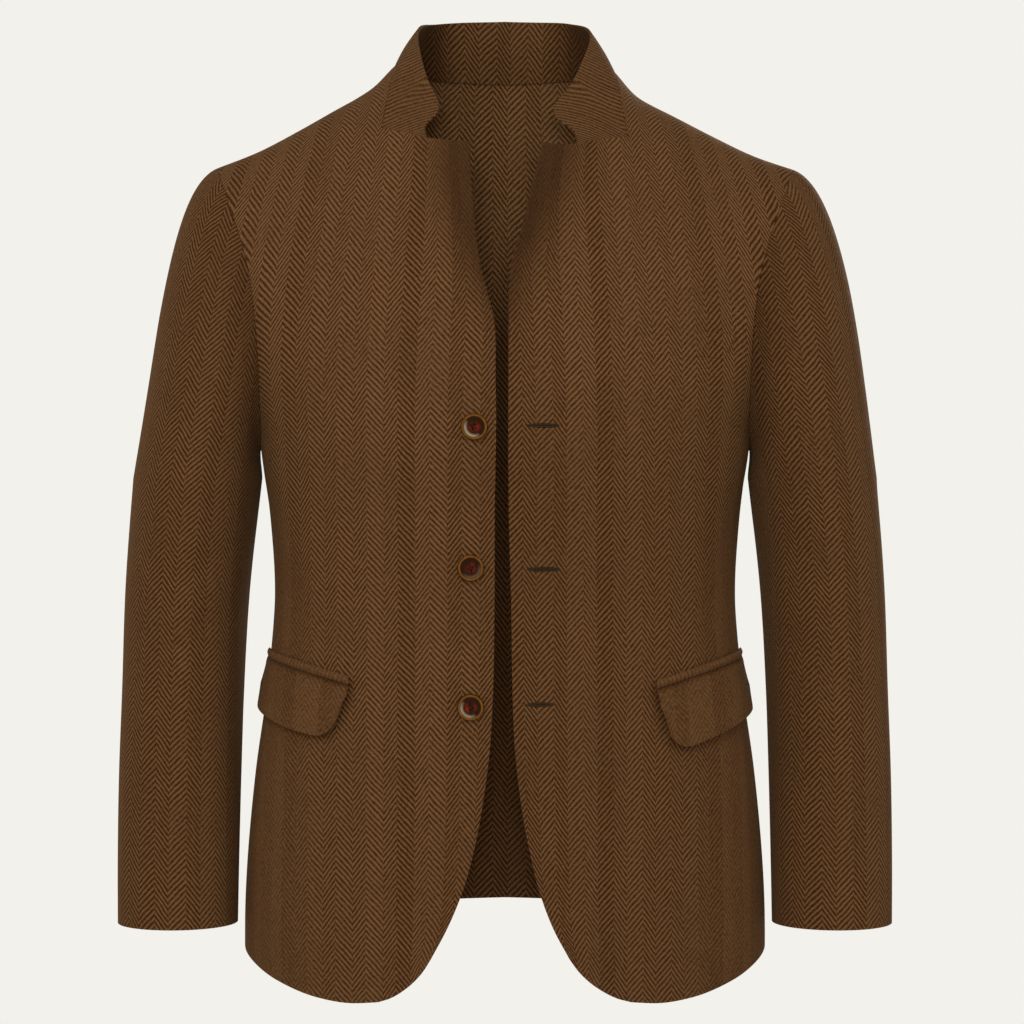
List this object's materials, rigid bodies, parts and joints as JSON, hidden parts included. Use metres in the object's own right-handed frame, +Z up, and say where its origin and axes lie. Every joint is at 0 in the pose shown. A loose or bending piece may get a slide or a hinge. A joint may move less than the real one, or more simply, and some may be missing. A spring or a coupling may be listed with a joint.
{
  "type": "tweed jacket",
  "caption": "Herringbone tweed jacket with a stand collar, soft unpressed lapels, a horn-buttoned open front, slanted flap pockets and rounded cutaway fronts, filled out as if worn",
  "frame": {"origin": "midway between the two neck points, level with them, where the shoulders carry the jacket", "axes": "+Z up along the length of the jacket, -Y to the front, +X to the wearer's left"},
  "size_m": [0.6804, 0.2694, 0.8607],
  "materials": {
    "tweed": "woollen herringbone tweed in two browns, dry and slightly hairy",
    "horn": "polished brown horn, darker in the dish"
  },
  "bodies": {
    "root": {"front_right": "tweed", "front_left": "tweed", "back": "tweed", "sleeve_right": "tweed", "sleeve_left": "tweed", "collar": "tweed", "pocket_flap_right": "tweed", "pocket_flap_left": "tweed", "pocket_jet_right": "tweed", "pocket_jet_left": "tweed", "chest_welt": "tweed", "button_top": "horn", "button_middle": "horn", "button_bottom": "horn"}
  },
  "joints": []
}
